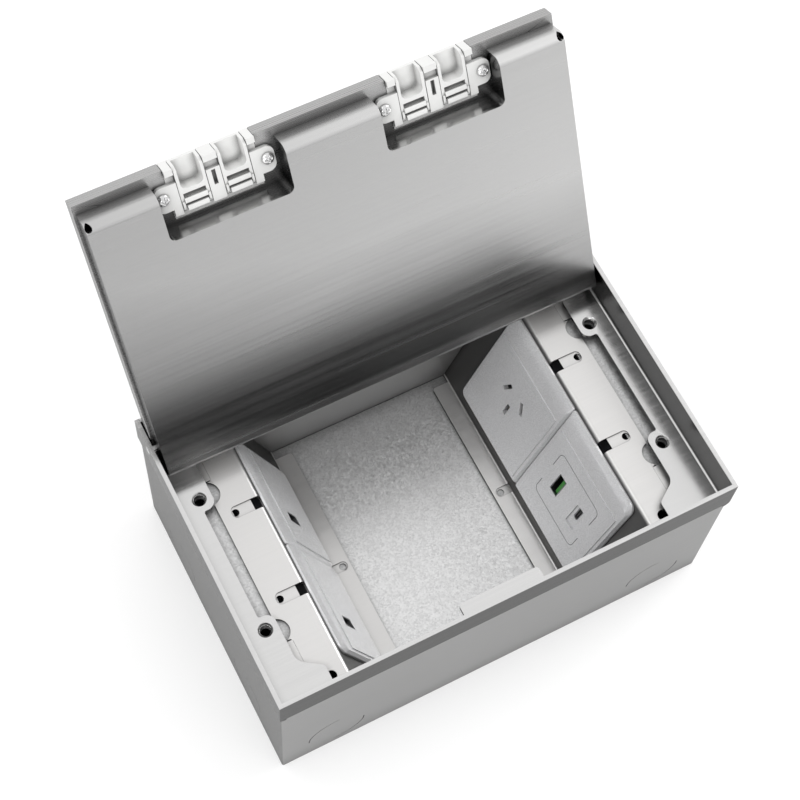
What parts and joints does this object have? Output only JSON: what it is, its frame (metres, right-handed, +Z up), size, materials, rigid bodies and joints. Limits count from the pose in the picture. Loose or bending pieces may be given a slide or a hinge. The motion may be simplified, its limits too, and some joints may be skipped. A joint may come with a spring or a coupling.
{
  "type": "floor socket box",
  "caption": "Sheet steel floor box with a stainless rim, a hinged pan lid with cable flaps, and socket, charger and data modules leaning inside.",
  "frame": {"origin": "centre of the underside of the box", "axes": "+X along the box to the mains socket side, +Y to the hinge side, +Z up"},
  "size_m": [0.23, 0.2025, 0.2159],
  "materials": {
    "rim_steel": "satin stainless",
    "tray_steel": "satin stainless",
    "lid_steel": "brushed stainless",
    "box_steel": "satin sheet steel",
    "galvanised": "spangled galvanised",
    "bracket_steel": "satin",
    "module_face": "silver grey",
    "module_housing": "grey",
    "contact_brass": "bright",
    "board": "circuit board",
    "port_shell": "nickel",
    "usb_a_tongue": "green",
    "port_tongue": "black",
    "flap_plastic": "light grey",
    "outlet_plastic": "light grey",
    "bush": "natural",
    "screw": "bright",
    "stud": "bright",
    "hinge_steel": "bright"
  },
  "bodies": {
    "box": {"side_rail_left": "rim_steel", "side_rail_right": "rim_steel", "front_rail": "rim_steel", "rear_rail": "rim_steel", "body_box": "box_steel", "floor_plate": "galvanised", "front_tab": "rim_steel", "earth_stud": "stud", "support_angle_left": "galvanised", "support_angle_right": "galvanised", "module_bracket_left": "bracket_steel", "module_bracket_right": "bracket_steel", "socket_face": "module_face", "socket_housing": "module_housing", "active_contact": "contact_brass", "neutral_contact": "contact_brass", "earth_contact": "contact_brass", "charger_face": "module_face", "charger_housing": "module_housing", "charger_board": "board", "usb_a_shell": "port_shell", "usb_a_tongue": "usb_a_tongue", "usb_c_shell": "port_shell", "usb_c_tongue": "port_tongue", "av_face_rear": "module_face", "av_housing_rear": "module_housing", "av_board_rear": "board", "av_shell_rear": "port_shell", "av_tongue_rear": "port_tongue", "av_face_front": "module_face", "av_housing_front": "module_housing", "av_board_front": "board", "av_shell_front": "port_shell", "av_tongue_front": "port_tongue", "hinge_pin_left": "hinge_steel", "hinge_pin_right": "hinge_steel"},
    "lid": {"lid_tray": "tray_steel", "lid_pan": "lid_steel", "hinge_block_left": "hinge_steel", "hinge_block_right": "hinge_steel", "hinge_bush_left": "bush", "hinge_bush_right": "bush", "outlet_bracket_left": "outlet_plastic", "outlet_bracket_right": "outlet_plastic", "flap_pins": "hinge_steel", "outlet_screws": "screw"},
    "flap_left_a": {"cable_flap_left_a": "flap_plastic"},
    "flap_left_b": {"cable_flap_left_b": "flap_plastic"},
    "flap_right_a": {"cable_flap_right_a": "flap_plastic"},
    "flap_right_b": {"cable_flap_right_b": "flap_plastic"}
  },
  "joints": [
    {"name": "lid_hinge", "type": "hinge", "parent": "box", "child": "lid", "pos_m": [0, 0.0612, 0.0962], "axis": [1, 0, 0], "range_deg": [0, 117.5]},
    {"name": "flap_left_a_hinge", "type": "hinge", "parent": "lid", "child": "flap_left_a", "pos_m": [-0.0613, 0.11303, 0.19729], "axis": [-1, 0, 0], "range_deg": [0, 90]},
    {"name": "flap_left_b_hinge", "type": "hinge", "parent": "lid", "child": "flap_left_b", "pos_m": [-0.0415, 0.11303, 0.19729], "axis": [-1, 0, 0], "range_deg": [0, 90]},
    {"name": "flap_right_a_hinge", "type": "hinge", "parent": "lid", "child": "flap_right_a", "pos_m": [0.0415, 0.11303, 0.19729], "axis": [-1, 0, 0], "range_deg": [0, 90]},
    {"name": "flap_right_b_hinge", "type": "hinge", "parent": "lid", "child": "flap_right_b", "pos_m": [0.0613, 0.11303, 0.19729], "axis": [-1, 0, 0], "range_deg": [0, 90]}
  ]
}
